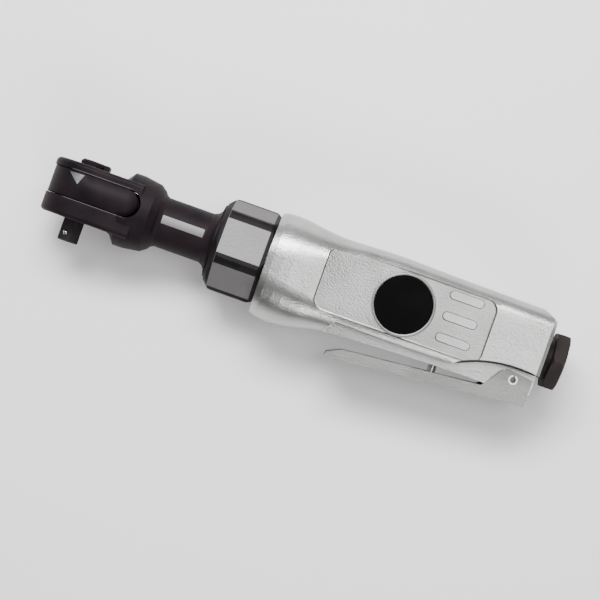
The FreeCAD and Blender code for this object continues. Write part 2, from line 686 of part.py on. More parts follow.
def flank_panel():
    """The sunk panel in one flank, as the tool to cut away."""
    tool = block((PANEL_START, PANEL_END), (PANEL_BOTTOM, PANEL_TOP), (PANEL_FLOOR, PANEL_FLOOR + 20))
    upright = [e for e in tool.Edges if abs(e.tangentAt(0).z) > 0.9]
    tool = tool.makeFillet(5.0, upright)
    rim = [e for e in tool.Edges if abs(e.CenterOfMass.z - PANEL_FLOOR) < 0.01]
    return tool.makeFillet(PANEL_DEPTH * 0.8, rim)


def lever_arch():
    """The room beside the keel on one flank: low under the grip, and high where the lever's cheek swings."""
    front, back, below = PANEL_START + 8, HOUSING_END + 2, FRONT_HALF_WIDTH * 2
    step_y, crown = PANEL_BOTTOM - 2.2, PIVOT_Y + 5.0
    points = [Vector(x, y, LUG_HALF) for x, y in [
        (front + 4, step_y), (PANEL_END - 11, step_y - 0.4), (PANEL_END - 3, step_y + 3.6),
        (PIVOT_X - 4, crown), (back, crown - 0.6)]]
    curve = Part.BSplineCurve()
    curve.interpolate(points[1:])
    foot = [Vector(x, y, LUG_HALF) for x, y in [(back, -below), (front, -below), (front, step_y - 4)]]
    corners = [points[-1]] + foot + points[:2]
    edges = [curve.toShape()] + [Part.makeLine(p, q) for p, q in zip(corners, corners[1:])]
    return Part.Face(Part.Wire(edges)).extrude(Vector(0, 0, FRONT_HALF_WIDTH))


def tail_bevel():
    """The wedge that comes off the tail's upper corner."""
    low, high = HOUSING_END - TAIL_BEVEL, HOUSING_END + 1
    top = FRONT_HALF_WIDTH
    slope = TAIL_DROP / TAIL_BEVEL
    return extruded([(low, 18.9), (high, 18.9 - TAIL_DROP - slope), (high, top), (low, top)], (-30, 30))


def motor_housing():
    """The aluminium casting: motor bore, valve chest, inlet and exhaust, with its outside features."""
    body = housing_skin()
    nose = rod("x", THREAD_RADIUS, NOSE_START, HOUSING_START + 4)
    body = body.fuse(nose)
    panel, arch = flank_panel(), lever_arch()
    for tool in (panel, mirrored(panel), arch, mirrored(arch), tail_bevel()):
        body = body.cut(tool)
    for k in (-1, 0, 1):
        rise = PANEL_FLOOR + RIB_RISE
        rib = obround(RIB_X, RIB_Y + k * RIB_PITCH, RIB_LENGTH, RIB_WIDTH, (PANEL_FLOOR - 1, rise))
        rib = rib.makeChamfer(0.3, [e for e in rib.Edges if abs(e.CenterOfMass.z - rise) < 0.01])
        body = body.fuse(both_flanks(rib))
    faces = (PANEL_FLOOR - 1, PANEL_FLOOR + 0.4)
    rim = tube("z", BADGE_RADIUS + 1.2, BADGE_RADIUS + SEAT, *faces, (BADGE_X, BADGE_Y))
    body = body.fuse(rim)
    cuts = [
        rod("x", MOTOR_BORE, NOSE_START - 1, MOTOR_END + 0.6),
        rod("x", INLET_BORE, VALVE_X, INLET_START + 1),
        rod("x", INLET_THREAD, INLET_START, HOUSING_END + 1),
        rod("y", VALVE_BORE, VALVE_SEAT_Y - GUIDE_LENGTH, VALVE_CEILING, (VALVE_X, 0)),
        rod("y", STEM_RADIUS + 0.6, -40, 0, (VALVE_X, 0)),
        rod("x", 2.4, MOTOR_END, VALVE_X, (VALVE_SEAT_Y - GUIDE_LENGTH / 2, 0)),
        rod("x", EXHAUST_RADIUS, MOTOR_END - 1, HOUSING_END + 1, (EXHAUST_Y, 0)),
        rod("z", BADGE_RADIUS + SEAT, PANEL_FLOOR - BADGE_THICK, PANEL_FLOOR + 5, (BADGE_X, BADGE_Y)),
        rod("z", PIN_RADIUS, -30, 30, (PIVOT_X, PIVOT_Y)),
    ]
    for cut in cuts:
        body = body.cut(cut)
    return body


def badge():
    """The plain round name plate, left blank."""
    face = PANEL_FLOOR + 0.3
    plate = rod("z", BADGE_RADIUS, PANEL_FLOOR - BADGE_THICK, face, (BADGE_X, BADGE_Y))
    return plate.makeChamfer(0.3, [e for e in plate.Edges if abs(e.CenterOfMass.z - face) < 0.01])


# ================================================================ lever and valve
def lever_line(x):
    """Height of the outer face of the lever's web."""
    slope = (LEVER_HEEL_Y - LEVER_TIP_Y) / (HOUSING_END - LEVER_TIP)
    return LEVER_TIP_Y + slope * (x - LEVER_TIP)


def throttle_lever():
    """The pressed-steel lever: a channel that tapers to its tip, with two cheeks round the pivot."""
    cheek_in = LUG_HALF + PLAY
    outer = cheek_in + LEVER_SHEET
    heel, tip = HOUSING_END - 1.0, LEVER_TIP
    crown, left = PIVOT_Y + 3.6, PIVOT_X - 9.9
    flange = [(x, lever_line(x) + LEVER_FLANGE) for x in (tip + 6, left - 2)]
    side = [(tip, lever_line(tip)), (heel, lever_line(heel)), (heel, PIVOT_Y + 2.3), (PIVOT_X - 2.6, crown),
            (PIVOT_X - 5.4, crown - 1.2), (left + 1.4, crown - 5.4),
            (left, lever_line(left) + LEVER_FLANGE + 1.6),
            flange[1], flange[0], (tip, lever_line(tip) + 2.2)]
    body = extruded(side, (-outer, outer))
    corners = [e for e in body.Edges if abs(e.CenterOfMass.x - tip) < 0.1 and abs(e.CenterOfMass.z) < 0.1]
    body = body.makeFillet(0.7, [e for e in corners if e.CenterOfMass.y < lever_line(tip) + 0.1])
    inside = [(x, lever_line(x) + LEVER_SHEET) for x in (tip - 5, heel + 5)] + [(heel + 5, 0), (tip - 5, 0)]
    body = body.cut(extruded(inside, (-cheek_in, cheek_in)))
    return body.cut(rod("z", PIN_RADIUS + SLIDE_GAP, -30, 30, (PIVOT_X, PIVOT_Y)))


def lever_pin():
    """The rolled spring pin that the lever swings on."""
    reach = LUG_HALF + PLAY + LEVER_SHEET
    pin = tube("z", PIN_RADIUS, PIN_RADIUS - 0.7, -reach, reach, (PIVOT_X, PIVOT_Y))
    return pin.cut(block((PIVOT_X - 0.3, PIVOT_X + 0.3), (PIVOT_Y, PIVOT_Y + 5), (-30, 30)))


def valve_stem():
    """The stem that the lever pushes, with its poppet head inside the valve chest."""
    low = lever_line(VALVE_X) + LEVER_SHEET + 0.35
    stem = rod("y", STEM_RADIUS, low, VALVE_SEAT_Y + 0.5, (VALVE_X, 0))
    stem = stem.makeFillet(1.2, [e for e in stem.Edges if abs(e.CenterOfMass.y - low) < 0.01])
    head = rod("y", VALVE_HEAD, VALVE_SEAT_Y + 0.2, VALVE_SEAT_Y + 2.4, (VALVE_X, 0))
    boss = rod("y", 1.9, VALVE_SEAT_Y + 2.4, VALVE_SEAT_Y + 4.4, (VALVE_X, 0))
    return stem.fuse(head).fuse(boss).removeSplitter()


def valve_guide():
    """The brass guide and seat that the stem slides in, with ports for the air to the motor."""
    low = VALVE_SEAT_Y - GUIDE_LENGTH
    body = tube("y", VALVE_BORE - 0.02, STEM_RADIUS + SLIDE_GAP, low, VALVE_SEAT_Y, (VALVE_X, 0))
    body = body.cut(tube("y", VALVE_BORE + 1, VALVE_BORE - 1.2, low + 2.4, VALVE_SEAT_Y - 2.0, (VALVE_X, 0)))
    return body.cut(tube("y", STEM_RADIUS + 1.4, 0.1, low + 3.2, VALVE_SEAT_Y + 1, (VALVE_X, 0)))


def valve_spring():
    """The spring that closes the valve."""
    return coil("y", 2.9, SPRING_WIRE, VALVE_SEAT_Y + 2.5, VALVE_CEILING, 5, (VALVE_X, 0))


# ================================================================ inlet and exhaust
def inlet_bushing():
    """The threaded air inlet: a hexagon with a round collar, screwed into the end of the housing."""
    hex_start = HOUSING_END + COLLAR_LENGTH
    corner = INLET_FLATS / math.sqrt(3)
    crowned = turned([
        (hex_start, 0), (hex_start, corner - 1.4), (hex_start + 0.9, corner), (INLET_END - 0.9, corner),
        (INLET_END, corner - 1.4), (INLET_END, 0),
    ])
    head = hexagon(INLET_FLATS, hex_start, INLET_END, 30).common(crowned)
    shank = turned([
        (INLET_START + 0.5, 0), (INLET_START + 0.5, INLET_THREAD - 0.9),
        (INLET_START + 1.4, INLET_THREAD - SEAT),
        (HOUSING_END, INLET_THREAD - SEAT), (HOUSING_END, INLET_COLLAR), (hex_start + 0.5, INLET_COLLAR),
        (hex_start + 0.5, 0),
    ])
    body = head.fuse(shank).removeSplitter()
    body = body.cut(rod("x", INLET_BORE, INLET_END - INLET_DEPTH, INLET_END + 1))
    mouth = turned([(INLET_END - 0.4, 0), (INLET_END - 0.4, INLET_BORE), (INLET_END + 0.1, INLET_BORE + 0.5),
                    (INLET_END + 0.1, 0)])
    return body.cut(mouth).cut(rod("x", INLET_BORE - 1.4, INLET_START, INLET_END))


def inlet_screen():
    """The strainer across the inlet's air way."""
    return tube("x", INLET_BORE - 1.5, INLET_BORE - 2.1, INLET_START + 1, INLET_START + 9).fuse(
        rod("x", INLET_BORE - 1.5, INLET_START + 1, INLET_START + 1.6)).removeSplitter()


def exhaust_muffler():
    """The porous plug in the exhaust's mouth."""
    return rod("x", EXHAUST_RADIUS - SEAT, HOUSING_END - 9, HOUSING_END - 0.6, (EXHAUST_Y, 0))


# ================================================================ nodes
def nodes():
    front = bearing_races(FRONT_PLATE)
    rear = bearing_races(MOTOR_END - BEARING_WIDTH)
    made = {
        "motor_housing": motor_housing(),
        "badge_plate": badge(),
        "clamp_nut": clamp_nut(),
        "split_ring": split_ring(),
        "nose_seal": nose_seal(),
        "ratchet_housing": ratchet_housing(),
        "drive_bush": spindle_bush(ring_span()[1] + SEAT, GAP_LOW),
        "knob_side_bush": spindle_bush(GAP_HIGH, EAR_FACE - UPPER_LAND),
        "retaining_ring": retaining_ring(),
        "ratchet_yoke": ratchet_yoke(),
        "drive_spindle": drive_spindle(),
        "detent_ball": detent_ball(),
        "detent_spring": detent_spring(),
        "pawl": pawl(),
        "pawl_pin": pawl_pin(),
        "reverse_knob": reverse_knob(),
        "crankshaft": crankshaft(),
        "crank_block": crank_block(),
        "needle_sleeve": needle_sleeve(),
        "ring_gear": ring_gear(),
        "front_end_plate": front_end_plate(),
        "rear_end_plate": rear_end_plate(),
        "cylinder_liner": cylinder_liner(),
        "liner_dowel": liner_dowel(),
        "rotor": rotor(),
        "rotor_vanes": rotor_vanes(),
        "front_bearing_race": front[0],
        "front_bearing_inner": front[1],
        "front_bearing_balls": front[2],
        "rear_bearing_race": rear[0],
        "rear_bearing_inner": rear[1],
        "rear_bearing_balls": rear[2],
        "throttle_lever": throttle_lever(),
        "lever_pin": lever_pin(),
        "valve_stem": valve_stem(),
        "valve_guide": valve_guide(),
        "valve_spring": valve_spring(),
        "inlet_bushing": inlet_bushing(),
        "inlet_screen": inlet_screen(),
        "exhaust_muffler": exhaust_muffler(),
    }
    for k in range(PLANETS):
        made[f"planet_gear_{k + 1}"] = planet_gear(k)
    return made


os.makedirs("parts", exist_ok=True)
for name, shape in nodes().items():
    shape.translate(TO_INLET)
    shape.exportStep(f"parts/{name}.step")
    print(name, len(shape.Solids), shape.isValid(), round(shape.Volume, 1))
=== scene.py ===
"""Compact air ratchet with a square drive: finishes, fine pieces, camera and lights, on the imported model.

Metres, in the model's own frame: +X along the tool towards the air inlet, the square drive points to -Y, and
+Z is the upper flank of the tool as it lies on its side.
"""
import json
import math
import bpy
import numpy as np
from mathutils import Matrix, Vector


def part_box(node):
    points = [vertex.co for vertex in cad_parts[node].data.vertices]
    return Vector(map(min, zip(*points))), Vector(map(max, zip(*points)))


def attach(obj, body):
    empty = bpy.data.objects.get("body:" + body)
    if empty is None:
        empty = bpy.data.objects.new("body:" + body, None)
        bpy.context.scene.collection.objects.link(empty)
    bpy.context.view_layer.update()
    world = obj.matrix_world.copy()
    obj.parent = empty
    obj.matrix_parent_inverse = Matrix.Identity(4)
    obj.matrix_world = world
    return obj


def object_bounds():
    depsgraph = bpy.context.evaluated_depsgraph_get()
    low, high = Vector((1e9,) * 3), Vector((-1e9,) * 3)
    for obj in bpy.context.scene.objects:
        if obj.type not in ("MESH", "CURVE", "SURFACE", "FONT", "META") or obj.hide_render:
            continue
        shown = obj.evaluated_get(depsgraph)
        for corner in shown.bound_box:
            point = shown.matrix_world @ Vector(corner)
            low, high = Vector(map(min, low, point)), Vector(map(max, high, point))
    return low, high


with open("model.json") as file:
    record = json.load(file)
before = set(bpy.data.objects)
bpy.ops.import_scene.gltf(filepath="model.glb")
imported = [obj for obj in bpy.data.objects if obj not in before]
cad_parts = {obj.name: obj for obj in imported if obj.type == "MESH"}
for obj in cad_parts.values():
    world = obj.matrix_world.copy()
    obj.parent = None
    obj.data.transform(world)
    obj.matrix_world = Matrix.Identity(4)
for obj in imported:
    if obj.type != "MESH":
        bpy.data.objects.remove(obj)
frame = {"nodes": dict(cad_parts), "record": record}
cad_box = [list(corner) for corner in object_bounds()]
MM = 0.001
NODES = frame["nodes"]

KNOB_RADIUS, KNOB_TAIL = 5.2 * MM, 7.2 * MM     # the knob's rim and its finger tab, from its axis
YOKE_RING = 13.0 * MM                           # inside the yoke's own ring
YOKE_SKIN = 14.6 * MM                           # radius of the yoke's outer skin
GRIP_CORNER, GRIP_ROUND = 10.0 * MM, 8.0 * MM   # middle and radius of the grip's rounded corners
PANEL_LOW, PANEL_HIGH = -12.6 * MM, 15.1 * MM   # the side panel's two long edges
INLET_BORE, THREAD_PITCH = 5.7 * MM, 1.41 * MM


# ---------------------------------------------------------------- meshes from grids
def grid_piece(name, points, body, closed_u=False, closed_v=False, smooth=True):
    """A surface through a grid of points: rows run along u, columns along v, and either way may close."""
    rows, columns = points.shape[:2]
    u = np.arange(rows if closed_u else rows - 1)
    v = np.arange(columns if closed_v else columns - 1)
    u, v = np.meshgrid(u, v, indexing="ij")
    next_u, next_v = (u + 1) % rows, (v + 1) % columns
    corners = [u * columns + v, next_u * columns + v, next_u * columns + next_v, u * columns + next_v]
    faces = np.stack(corners, axis=-1).reshape(-1, 4)
    mesh = bpy.data.meshes.new(name)
    mesh.from_pydata(points.reshape(-1, 3).tolist(), [], faces.tolist())
    mesh.polygons.foreach_set("use_smooth", np.full(len(mesh.polygons), smooth))
    piece = bpy.data.objects.new(name, mesh)
    bpy.context.scene.collection.objects.link(piece)
    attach(piece, body)
    return piece


def tube_along(path, normals, binormals, radius, sides=10):
    """Points of a tube: a circle of the radius in each point's normal plane, carried along the path."""
    angle = np.linspace(0, 2 * np.pi, sides, endpoint=False)
    out, side = np.cos(angle)[None, :, None], np.sin(angle)[None, :, None]
    ring = out * normals[:, None, :] + side * binormals[:, None, :]
    return path[:, None, :] + np.asarray(radius).reshape(-1, 1, 1) * ring


def drive_centre():
    """X of the drive's axis, which runs along Y: the knob's tab ends its own length behind it."""
    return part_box("reverse_knob")[1][0] - KNOB_TAIL


# ---------------------------------------------------------------- shader node groups
def new_group(name, inputs, outputs):
    """An empty shader group with float inputs (name, default) and named outputs."""
    group = bpy.data.node_groups.new(name, "ShaderNodeTree")
    for label, default in inputs:
        socket = group.interface.new_socket(label, in_out="INPUT", socket_type="NodeSocketFloat")
        socket.default_value = default
    for label in outputs:
        group.interface.new_socket(label, in_out="OUTPUT", socket_type="NodeSocketFloat")
    return group, group.nodes.new("NodeGroupInput"), group.nodes.new("NodeGroupOutput")


def noise(tree, scale, detail):
    """Noise on the object's own coordinates, its scale taken from a socket."""
    place = tree.nodes.new("ShaderNodeTexCoord")
    texture = tree.nodes.new("ShaderNodeTexNoise")
    texture.inputs["Detail"].default_value = detail
    tree.links.new(place.outputs["Object"], texture.inputs["Vector"])
    tree.links.new(scale, texture.inputs["Scale"])
    return texture.outputs["Fac"]


def math_node(tree, operation, a, b=0.0, c=0.0):
    """One math node; each input is a number or a socket."""
    node = tree.nodes.new("ShaderNodeMath")
    node.operation = operation
    for socket, value in zip(node.inputs, (a, b, c)):
        if isinstance(value, (int, float)):
            socket.default_value = value
        else:
            tree.links.new(value, socket)
    return node.outputs[0]


def ramp(tree, value, low, high):
    """0 below low and 1 above high, smooth between."""
    node = tree.nodes.new("ShaderNodeMapRange")
    node.interpolation_type = "SMOOTHSTEP"
    tree.links.new(value, node.inputs["Value"])
    node.inputs["From Min"].default_value = low
    node.inputs["From Max"].default_value = high
    return node.outputs["Result"]


def build_cast_grain():
    """Grain of a blasted or cast surface: fine noise plus a coarser, fainter one."""
    group, inside, outside = new_group("cast_grain", [("Grain Scale", 1800.0), ("Patch Scale", 60.0)],
                                       ["Height", "Patches"])
    fine = noise(group, inside.outputs["Grain Scale"], 3.0)
    patches = noise(group, inside.outputs["Patch Scale"], 5.0)
    height = math_node(group, "MULTIPLY_ADD", patches, 0.15, fine)
    group.links.new(height, outside.inputs["Height"])
    group.links.new(patches, outside.inputs["Patches"])
    return group


CAST_GRAIN = build_cast_grain()
# Colour of the painted highlights and reflections on the black steel: bright metal laid on the surface
PAINTED_HIGHLIGHT_METAL = (0.16, 0.157, 0.16)


# ---------------------------------------------------------------- materials
def place_group(tree, group, **values):
    """The group as a node, its inputs set by name, with underscores for spaces."""
    node = tree.nodes.new("ShaderNodeGroup")
    node.node_tree = group
    for label, value in values.items():
        node.inputs[label.replace("_", " ")].default_value = value
    return node


def mix_colours(tree, mask, dark, light):
    """The dark colour where the mask is 0 and the light one where it is 1; each a colour or a socket."""
    node = tree.nodes.new("ShaderNodeMix")
    node.data_type = "RGBA"
    tree.links.new(mask, node.inputs["Factor"])
    for socket, colour in ((node.inputs["A"], dark), (node.inputs["B"], light)):
        target = [s for s in node.inputs if s.name == socket.name and s.type == "RGBA"][0]
        if isinstance(colour, tuple):
            target.default_value = (*colour, 1.0)
        else:
            tree.links.new(colour, target)
    return [s for s in node.outputs if s.type == "RGBA"][0]


def finish_material(name, dark, light, metallic, roughness, grain=1800.0, bump=0.05, specular=0.5,
                    bright=None, shade=None):
    """A finish whose colour drifts between two tones in patches, with grain in its bump and roughness.
    bright(tree) may give a mask of painted highlight, drawn as bright metal, and shade(tree) a mask of
    painted shade, drawn as darker, duller metal."""
    material = bpy.data.materials.new(name)
    material.use_nodes = True
    tree = material.node_tree
    shader = tree.nodes["Principled BSDF"]
    texture = place_group(tree, CAST_GRAIN, Grain_Scale=grain)
    colour = mix_colours(tree, ramp(tree, texture.outputs["Patches"], 0.3, 0.7), dark, light)
    rough = math_node(tree, "MULTIPLY_ADD", texture.outputs["Patches"], 0.12, roughness - 0.06)
    if shade:
        mask = shade(tree)
        # painted shade: the colour darkens to three tenths of the dark tone where the mask lies
        colour = mix_colours(tree, mask, colour, tuple(0.3 * tone for tone in dark))
        rough = math_node(tree, "MULTIPLY_ADD", mask, 0.15, rough)
    if bright:
        mask = bright(tree)
        # painted highlight: the colour turns to bright metal where the mask lies
        colour = mix_colours(tree, mask, colour, PAINTED_HIGHLIGHT_METAL)
        rough = math_node(tree, "MULTIPLY_ADD", mask, 0.08, rough)
        tree.links.new(math_node(tree, "MAXIMUM", mask, metallic), shader.inputs["Metallic"])
    else:
        shader.inputs["Metallic"].default_value = metallic
    tree.links.new(colour, shader.inputs["Base Color"])
    tree.links.new(rough, shader.inputs["Roughness"])
    shader.inputs["Specular IOR Level"].default_value = specular
    relief = tree.nodes.new("ShaderNodeBump")
    relief.inputs["Strength"].default_value = bump
    relief.inputs["Distance"].default_value = 0.0004
    tree.links.new(texture.outputs["Height"], relief.inputs["Height"])
    tree.links.new(relief.outputs["Normal"], shader.inputs["Normal"])
    return material


def object_axes(tree):
    """The object's own coordinates, split into X, Y and Z."""
    place = tree.nodes.new("ShaderNodeTexCoord")
    split = tree.nodes.new("ShaderNodeSeparateXYZ")
    tree.links.new(place.outputs["Object"], split.inputs[0])
    return split


def window(tree, value, low, high, edge):
    """1 between low and high, falling to 0 over a soft edge outside them."""
    rise = ramp(tree, value, low - edge, low)
    fall = ramp(tree, value, high, high + edge)
    return math_node(tree, "MULTIPLY", rise, math_node(tree, "SUBTRACT", 1.0, fall))


def nut_painted_reflection(tree):
    """Painted reflection: 1 on the middle of each of the nut's flats, where the distance from the centre
    line is least; there the nut is drawn as bright metal in place of the lights' reflection.
    """
    low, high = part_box("clamp_nut")
    nearest, farthest = 17.70 * MM, 19.2 * MM
    front_rim, back_rim = 2.5 * MM, 1.8 * MM
    split = object_axes(tree)
    y, z = split.outputs["Y"], split.outputs["Z"]
    square = math_node(tree, "MULTIPLY", y, y)
    radius = math_node(tree, "SQRT", math_node(tree, "MULTIPLY_ADD", z, z, square))
    flat = window(tree, radius, nearest, farthest, 0.15 * MM)
    length = window(tree, split.outputs["X"], low[0] + front_rim, high[0] - back_rim, 0.3 * MM)
    return math_node(tree, "MULTIPLY", flat, length)


def neck_painted_strip(tree):
    """Painted highlight: 1 on a narrow strip along the upper flank of the neck, drawn as bright metal in
    place of a reflection.
    """
    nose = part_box("ratchet_housing")[0][0]
    start, end = nose + 50.2 * MM, nose + 68.0 * MM
    low, high = -0.6 * MM, 2.7 * MM
    split = object_axes(tree)
    along = window(tree, split.outputs["X"], start, end, 0.25 * MM)
    across = window(tree, split.outputs["Y"], low, high, 0.15 * MM)
    flank = ramp(tree, split.outputs["Z"], 0.0, 2 * MM)
    return math_node(tree, "MULTIPLY", math_node(tree, "MULTIPLY", along, across), flank)


def panel_painted_shade(tree):
    """Painted shade: 1 on the steps round the side panel and its ribs, darkened where shadow falls, and
    partly on the panel's floor, both growing towards the back.
    """
    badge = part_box("badge_plate")
    floor, middle = badge[1][2] - 0.3 * MM, (badge[0][0] + badge[1][0]) / 2
    front, back = middle - 36 * MM, middle + 37.1 * MM
    split = object_axes(tree)
    step = window(tree, split.outputs["Z"], floor + 0.05 * MM, floor + 0.5 * MM, 0.04 * MM)
    low = window(tree, split.outputs["Z"], floor - 0.2 * MM, floor + 0.04 * MM, 0.05 * MM)
    fade = ramp(tree, split.outputs["X"], middle - 30 * MM, middle + 4 * MM)
    soft = math_node(tree, "MULTIPLY", math_node(tree, "MULTIPLY", low, fade), 0.2)
    hard = math_node(tree, "MULTIPLY", step, math_node(tree, "MULTIPLY", fade, 0.8))
    both = math_node(tree, "MAXIMUM", hard, soft)
    length = window(tree, split.outputs["X"], front, back, 0.3 * MM)
    width = window(tree, split.outputs["Y"], PANEL_LOW, PANEL_HIGH, 0.3 * MM)
    return math_node(tree, "MULTIPLY", both, math_node(tree, "MULTIPLY", length, width))


def black_painted_highlights(tree):
    """Painted highlights: the neck's bright strip, and fainter bright lines along the ears' edges at the gap
    between them, where the edges would catch the light.
    """
    low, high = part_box("ratchet_yoke")[0][1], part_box("ratchet_yoke")[1][1]
    fade_start, fade_end = drive_centre() + 18 * MM, drive_centre() + 22 * MM
    split = object_axes(tree)
    upper = window(tree, split.outputs["Y"], high + 0.3 * MM, high + 0.55 * MM, 0.1 * MM)
    lower = window(tree, split.outputs["Y"], low - 0.55 * MM, low - 0.3 * MM, 0.1 * MM)
    flank = ramp(tree, split.outputs["Z"], 13.4 * MM, 14.4 * MM)
    length = math_node(tree, "SUBTRACT", 1.0, ramp(tree, split.outputs["X"], fade_start, fade_end))
    edge_highlights = math_node(tree, "MULTIPLY", math_node(tree, "MAXIMUM", upper, lower),
                       math_node(tree, "MULTIPLY", math_node(tree, "MULTIPLY", flank, length), 0.4))
    return math_node(tree, "MAXIMUM", edge_highlights, neck_painted_strip(tree))


MATERIALS = {
    # cast_aluminium: painted shade on the side panel's steps and floor
    "cast_aluminium": finish_material("cast_aluminium", (0.33, 0.335, 0.325), (0.42, 0.425, 0.415), 0.95,
                                      0.29, grain=1300.0, bump=0.3, shade=panel_painted_shade),
    # black_oxide: painted highlights on the neck and along the ears' edges
    "black_oxide": finish_material("black_oxide", (0.004, 0.003, 0.004), (0.012, 0.008, 0.010), 0.0, 0.5,
                                   bump=0.2, specular=0.07, bright=black_painted_highlights),
    # ground_nut: the bright middles of the flats are a painted reflection
    "ground_nut": finish_material("ground_nut", (0.004, 0.004, 0.004), (0.012, 0.009, 0.011), 0.0, 0.5,
                                  grain=1100.0, bump=0.35, specular=0.07, bright=nut_painted_reflection),
    "bright_steel": finish_material("bright_steel", (0.20, 0.20, 0.195), (0.25, 0.25, 0.245), 0.9, 0.36,
                                    grain=1500.0, bump=0.3),
    "hard_steel": finish_material("hard_steel", (0.36, 0.36, 0.37), (0.5, 0.5, 0.51), 0.98, 0.25, bump=0.05),
    "dark_steel": finish_material("dark_steel", (0.008, 0.006, 0.007), (0.020, 0.016, 0.018), 0.0, 0.45,
                                  bump=0.2, specular=0.15),
    "brown_black": finish_material("brown_black", (0.009, 0.006, 0.006), (0.020, 0.014, 0.013), 0.0, 0.5,
                                   grain=1500.0, bump=0.2, specular=0.15),
    "badge_black": finish_material("badge_black", (0.001, 0.001, 0.001), (0.002, 0.002, 0.002), 0.0, 0.6,
                                   grain=3000.0, bump=0.02, specular=0.03),
    "brass": finish_material("brass", (0.6, 0.44, 0.2), (0.74, 0.56, 0.28), 0.95, 0.3, bump=0.04),
    "rubber": finish_material("rubber", (0.01, 0.01, 0.01), (0.02, 0.02, 0.02), 0.0, 0.6, bump=0.08),
    "vane_composite": finish_material("vane_composite", (0.15, 0.09, 0.05), (0.27, 0.17, 0.1), 0.0, 0.55,
                                      grain=900.0, bump=0.1),
    "sintered": finish_material("sintered", (0.34, 0.27, 0.16), (0.5, 0.4, 0.26), 0.7, 0.6, grain=2600.0,
                                bump=0.5),
}
SLOT_OF = {part["node"]: part["material_slot"] for part in frame["record"]["subparts"]}


def dress(piece, slot):
    """Gives the piece its slot's finish."""
    piece.data.materials.clear()
    piece.data.materials.append(MATERIALS[slot])


for node, piece in NODES.items():
    dress(piece, SLOT_OF[node])


# ---------------------------------------------------------------- fine pieces
def inlet_thread():
    """The pipe thread in the inlet: a helix of constant radius whose ridge is a three-sided profile with its
    crest towards the centre line, fading out over the first and last half turn."""
    turns, start = 8, -1.4 * MM
    angle = np.linspace(0, 2 * np.pi * turns, 48 * turns)
    x = start - THREAD_PITCH * angle / (2 * np.pi)
    fade = np.clip(np.minimum(angle, angle[-1] - angle) / np.pi, 0.02, 1)
    along = np.array([-0.5, 0.0, 0.5]) * THREAD_PITCH * 0.9
    depth = np.array([-0.05, 0.55, -0.05]) * MM
    radius = INLET_BORE - fade[:, None] * depth[None, :]
    points = np.stack([x[:, None] + along[None, :], radius * np.cos(angle)[:, None],
                       radius * np.sin(angle)[:, None]], axis=-1)
    piece = grid_piece("inlet_thread", points, "tool_body", closed_v=True, smooth=False)
    dress(piece, "brown_black")


def knob_ribs():
    """Ribs round the knob's rim: each is a small rounded bar, a circle that narrows at both ends, carried up
    the rim's height. None stands where the finger tab leaves the rim."""
    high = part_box("reverse_knob")[1][1]
    bottom, top = high - 2.2 * MM, high - 0.7 * MM
    count, steps, tab_half_angle = 16, 6, 0.5
    heights = np.linspace(bottom, top, steps)
    taper = 0.42 * MM * np.array([0.01, 0.8, 1.0, 1.0, 0.8, 0.01])
    for k in range(count):
        turn = 2 * np.pi * k / count
        if abs(math.remainder(turn, 2 * math.pi)) < tab_half_angle:
            continue
        out = np.array([math.cos(turn), 0.0, math.sin(turn)])
        side = np.array([-math.sin(turn), 0.0, math.cos(turn)])
        axis = np.stack([np.full(steps, drive_centre()), heights, np.zeros(steps)], axis=-1)
        outs, sides = np.tile(out, (steps, 1)), np.tile(side, (steps, 1))
        points = tube_along(axis + out * KNOB_RADIUS, outs, sides, taper, 8)
        piece = grid_piece(f"knob_rib_{k:02d}", points, "knob", closed_v=True)
        dress(piece, "black_oxide")


def yoke_cheek():
    """The yoke's outer skin, which fills the gap between the ears: an outline that runs forward along one
    flank, round the nose at a constant radius and back along the other, with a rounded end to each flank.
    Across it lies a flat band with softened corners, and its depth reaches into the yoke."""
    centre, reach, end, lean, depth = drive_centre(), 24.0 * MM, 5.5 * MM, 1.1 * MM, 9.9 * MM
    yoke_low, yoke_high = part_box("ratchet_yoke")
    low, high = yoke_low[1] - 0.1 * MM, yoke_high[1] + 0.1 * MM
    rounded = reach - end * (1 - np.cos(np.linspace(0, np.pi / 2, 14)))
    flank = np.concatenate([rounded, np.linspace(rounded[-1], 0, 12)[1:]])
    nose = np.linspace(0, np.pi, 60)[1:-1]
    drop = YOKE_SKIN - lean * (flank / reach) ** 2
    x = np.concatenate([flank, -YOKE_SKIN * np.sin(nose), flank[::-1]])
    z = np.concatenate([drop, YOKE_SKIN * np.cos(nose), -drop[::-1]])
    inner_x = np.concatenate([flank, -YOKE_RING * np.sin(nose), flank[::-1]])
    inner_z = np.where(x <= 0, YOKE_RING * z / YOKE_SKIN, np.sign(z) * depth)
    past = np.clip((x - (reach - end)) / end, 0, 1)
    half = (high - low) / 2 * np.sqrt(np.clip(1 - past ** 2, 0.0001, 1))
    across = np.array([-1.0, -1.0, -0.965, 0.965, 1.0, 1.0])
    outness = np.array([0.0, 0.9, 1.0, 1.0, 0.9, 0.0])
    points = np.stack([inner_x[:, None] + (x - inner_x)[:, None] * outness + centre,
                       (high + low) / 2 + half[:, None] * across,
                       inner_z[:, None] + (z - inner_z)[:, None] * outness], axis=-1)
    piece = grid_piece("yoke_cheek", points, "yoke", closed_v=True)
    dress(piece, "black_oxide")


